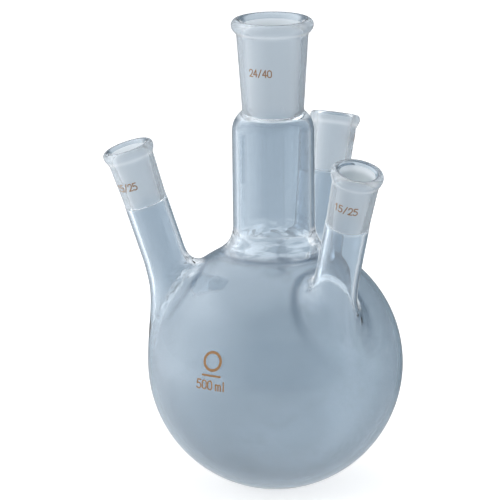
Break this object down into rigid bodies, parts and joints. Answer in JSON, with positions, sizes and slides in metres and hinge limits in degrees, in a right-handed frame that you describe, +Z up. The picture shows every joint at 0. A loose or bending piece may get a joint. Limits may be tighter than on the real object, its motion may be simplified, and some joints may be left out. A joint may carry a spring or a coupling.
{
  "type": "round bottom flask",
  "caption": "Clear glass round bottom flask with an upright ground centre neck and tilted ground side necks around it, for stirring, heating and distilling.",
  "frame": {"origin": "lowest point of the ball, on the centre neck's axis, where the ball sits in its ring or mantle", "axes": "+Z up along the centre neck; -X towards the left side neck; the printed marks face -Y and -X"},
  "size_m": [0.1217, 0.1228, 0.1967],
  "materials": {
    "clear_glass": "clear borosilicate glass, fire polished",
    "ground_glass": "borosilicate glass, bore ground to a fine frost, lip and outside clear",
    "enamel": "orange-brown ceramic enamel, screen printed and fired on"
  },
  "bodies": {
    "root": {"bulb": "clear_glass", "centre_tube": "clear_glass", "side_tube_left": "clear_glass", "side_tube_rear": "clear_glass", "side_tube_front": "clear_glass", "centre_socket": "ground_glass", "side_socket_left": "ground_glass", "side_socket_rear": "ground_glass", "side_socket_front": "ground_glass", "centre_mark": "enamel", "side_mark_left": "enamel", "side_mark_rear": "enamel", "side_mark_front": "enamel", "capacity_mark": "enamel", "emblem_mark": "enamel"}
  },
  "joints": []
}
